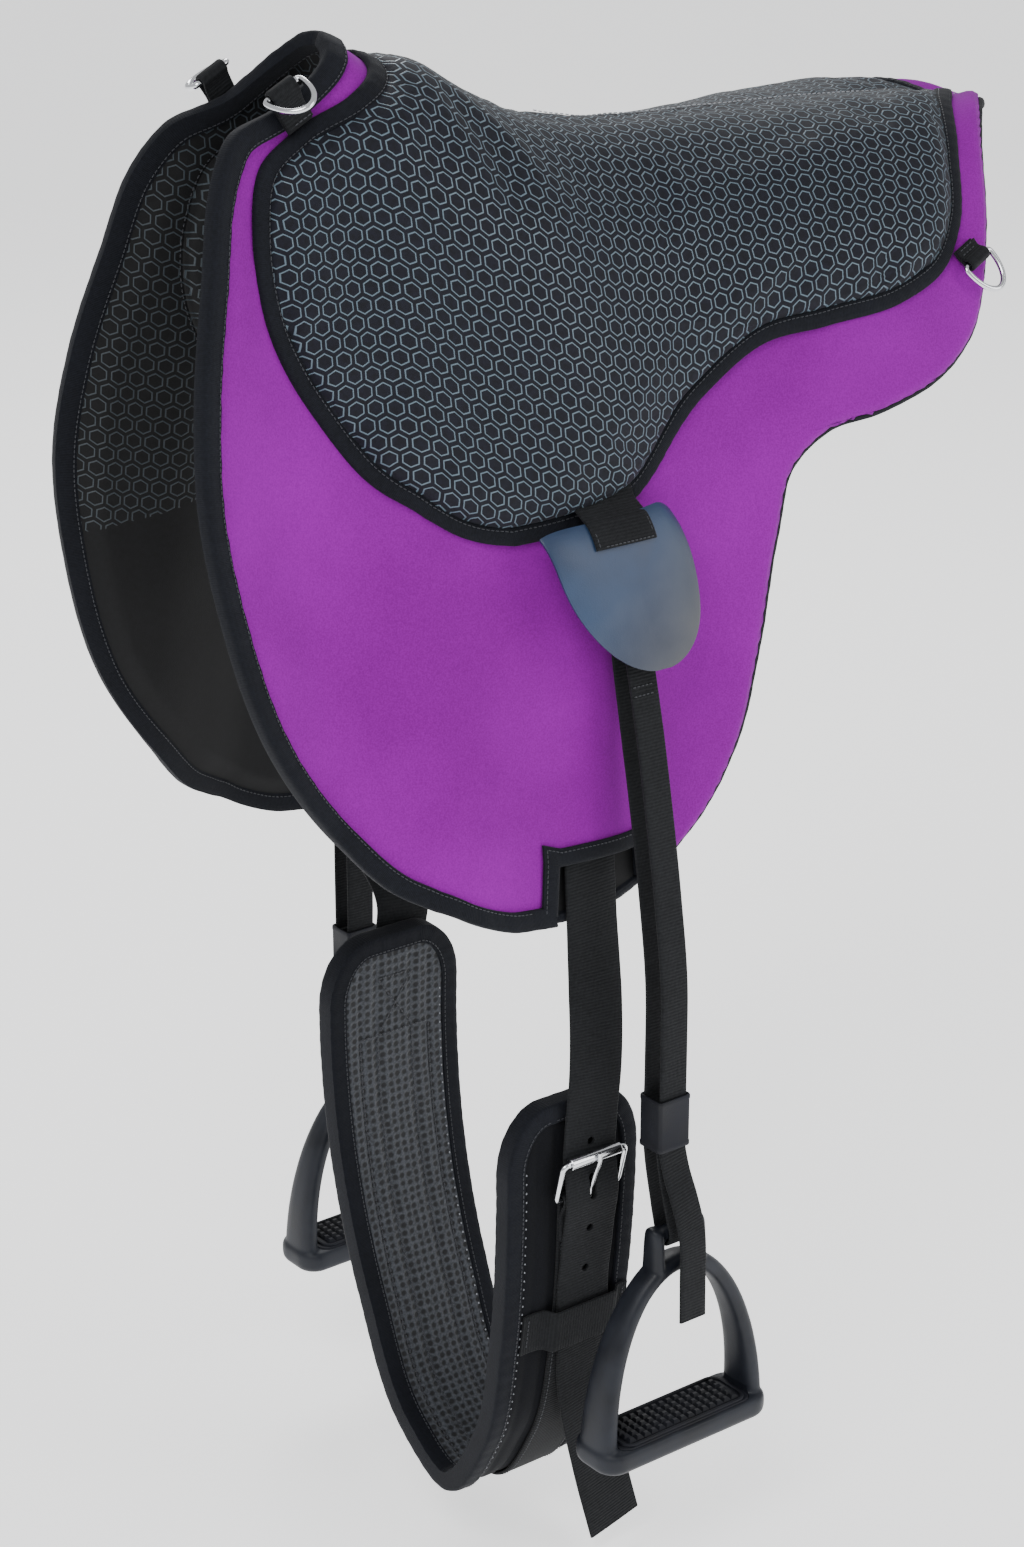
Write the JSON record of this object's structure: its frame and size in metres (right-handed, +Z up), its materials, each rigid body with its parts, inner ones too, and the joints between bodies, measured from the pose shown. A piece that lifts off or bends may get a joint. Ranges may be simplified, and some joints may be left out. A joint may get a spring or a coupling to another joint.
{
  "type": "bareback pad",
  "caption": "Bareback riding pad with padded seat, shaped flaps, hanging stirrups on webbing straps, leather hanger covers, metal rings and a buckled girth.",
  "frame": {"origin": "underside of the pad on its spine line, at the lowest point of the seat, where the middle of the horse's back carries it", "axes": "+X to the horse's tail, +Y to the off (right) side, +Z up; the pad hangs as it does on a horse"},
  "size_m": [0.726, 0.407, 1.0629],
  "materials": {
    "purple_neoprene": "matt purple neoprene-faced cloth",
    "black_neoprene": "matt black neoprene",
    "foam": "closed-cell foam, hidden",
    "hexagon_grip": "black cloth with printed glossy hexagon rings",
    "binding_tape": "folded black tape, stitched",
    "webbing": "woven ribbed black webbing",
    "leather": "smooth black leather, soft sheen",
    "chrome": "bright plated",
    "stirrup_plastic": "satin moulded plastic",
    "tread_rubber": "matt rubber",
    "air_mesh": "black spacer mesh"
  },
  "bodies": {
    "pad": {"pad_cover": "purple_neoprene", "pad_foam_core": "foam", "pad_lining": "black_neoprene", "pad_edge_binding": "binding_tape", "notch_binding_near": "binding_tape", "notch_binding_off": "binding_tape", "seat_foam": "foam", "seat_cover": "hexagon_grip", "seat_edge_binding": "binding_tape", "under_panel_near": "hexagon_grip", "under_panel_off": "hexagon_grip", "d_ring_tab_front_near": "webbing", "d_ring_tab_front_off": "webbing", "d_ring_tab_rear_near": "webbing", "d_ring_tab_rear_off": "webbing", "hanger_tab_near": "webbing", "hanger_tab_off": "webbing"},
    "girth": {"girth_foam": "foam", "girth_outer": "black_neoprene", "girth_mesh_liner": "air_mesh", "girth_binding": "binding_tape", "girth_webbing": "webbing", "buckle_frame_near": "chrome", "buckle_frame_off": "chrome", "girth_strap_near": "webbing", "girth_strap_off": "webbing", "girth_keeper_near": "webbing", "girth_keeper_off": "webbing"},
    "ring_front_near": {"d_ring_front_near": "chrome"},
    "ring_rear_near": {"d_ring_rear_near": "chrome"},
    "flap_near": {"leather_flap_near": "leather", "flap_patch_near": "webbing"},
    "stirrup_strap_near": {"stirrup_strap_near": "webbing", "hanger_ring_near": "chrome"},
    "stirrup_near": {"stirrup_iron_near": "stirrup_plastic", "stirrup_tread_near": "tread_rubber"},
    "keeper_near": {"strap_keeper_near": "tread_rubber"},
    "roller_near": {"buckle_roller_near": "chrome"},
    "prong_near": {"buckle_prong_near": "chrome"},
    "ring_front_off": {"d_ring_front_off": "chrome"},
    "ring_rear_off": {"d_ring_rear_off": "chrome"},
    "flap_off": {"leather_flap_off": "leather", "flap_patch_off": "webbing"},
    "stirrup_strap_off": {"stirrup_strap_off": "webbing", "hanger_ring_off": "chrome"},
    "stirrup_off": {"stirrup_iron_off": "stirrup_plastic", "stirrup_tread_off": "tread_rubber"},
    "keeper_off": {"strap_keeper_off": "tread_rubber"},
    "roller_off": {"buckle_roller_off": "chrome"},
    "prong_off": {"buckle_prong_off": "chrome"}
  },
  "joints": [
    {"name": "girth_swing", "type": "hinge", "parent": "pad", "child": "girth", "pos_m": [-0.106, 0, -0.456], "axis": [0, 1, 0], "range_deg": [-8, 8]},
    {"name": "ring_front_near_fold", "type": "hinge", "parent": "pad", "child": "ring_front_near", "pos_m": [-0.25374, -0.03816, 0.07342], "axis": [-0.883, 0.0262, -0.4686], "range_deg": [0, 95]},
    {"name": "ring_rear_near_fold", "type": "hinge", "parent": "pad", "child": "ring_rear_near", "pos_m": [0.24174, -0.14047, -0.07806], "axis": [0.918, 0.1617, 0.3621], "range_deg": [-110, 0]},
    {"name": "flap_near_lift", "type": "hinge", "parent": "pad", "child": "flap_near", "pos_m": [-0.067, -0.1285, -0.206], "axis": [-1, 0, 0], "range_deg": [0, 70]},
    {"name": "stirrup_near_swing", "type": "hinge", "parent": "pad", "child": "stirrup_strap_near", "pos_m": [-0.058, -0.128, -0.2479], "axis": [0, 1, 0], "range_deg": [-18, 18]},
    {"name": "stirrup_near_tilt", "type": "hinge", "parent": "stirrup_strap_near", "child": "stirrup_near", "pos_m": [-0.047, -0.18, -0.707], "axis": [-1, 0, 0], "range_deg": [-2, 15]},
    {"name": "keeper_near_slide", "type": "slide", "parent": "stirrup_strap_near", "child": "keeper_near", "axis": [0, 0, 1], "range_m": [0, 0.04]},
    {"name": "roller_near_turn", "type": "hinge", "parent": "girth", "child": "roller_near", "pos_m": [-0.098, -0.15428, -0.64517], "axis": [1, 0, 0], "continuous": true},
    {"name": "prong_near_lift", "type": "hinge", "parent": "girth", "child": "prong_near", "pos_m": [-0.098, -0.14621, -0.6751], "axis": [1, 0, 0], "range_deg": [0, 20]},
    {"name": "ring_front_off_fold", "type": "hinge", "parent": "pad", "child": "ring_front_off", "pos_m": [-0.25374, 0.03816, 0.07342], "axis": [0.883, 0.0262, 0.4686], "range_deg": [0, 95]},
    {"name": "ring_rear_off_fold", "type": "hinge", "parent": "pad", "child": "ring_rear_off", "pos_m": [0.24174, 0.14047, -0.07806], "axis": [-0.918, 0.1617, -0.3621], "range_deg": [-110, 0]},
    {"name": "flap_off_lift", "type": "hinge", "parent": "pad", "child": "flap_off", "pos_m": [-0.067, 0.1285, -0.206], "axis": [1, 0, 0], "range_deg": [0, 70]},
    {"name": "stirrup_off_swing", "type": "hinge", "parent": "pad", "child": "stirrup_strap_off", "pos_m": [-0.058, 0.128, -0.2479], "axis": [0, 1, 0], "range_deg": [-18, 18]},
    {"name": "stirrup_off_tilt", "type": "hinge", "parent": "stirrup_strap_off", "child": "stirrup_off", "pos_m": [-0.047, 0.18, -0.707], "axis": [1, 0, 0], "range_deg": [-2, 15]},
    {"name": "keeper_off_slide", "type": "slide", "parent": "stirrup_strap_off", "child": "keeper_off", "axis": [0, 0, 1], "range_m": [0, 0.04]},
    {"name": "roller_off_turn", "type": "hinge", "parent": "girth", "child": "roller_off", "pos_m": [-0.098, 0.07894, -0.58571], "axis": [1, 0, 0], "continuous": true},
    {"name": "prong_off_lift", "type": "hinge", "parent": "girth", "child": "prong_off", "pos_m": [-0.098, 0.07149, -0.6158], "axis": [-1, 0, 0], "range_deg": [0, 20]}
  ]
}
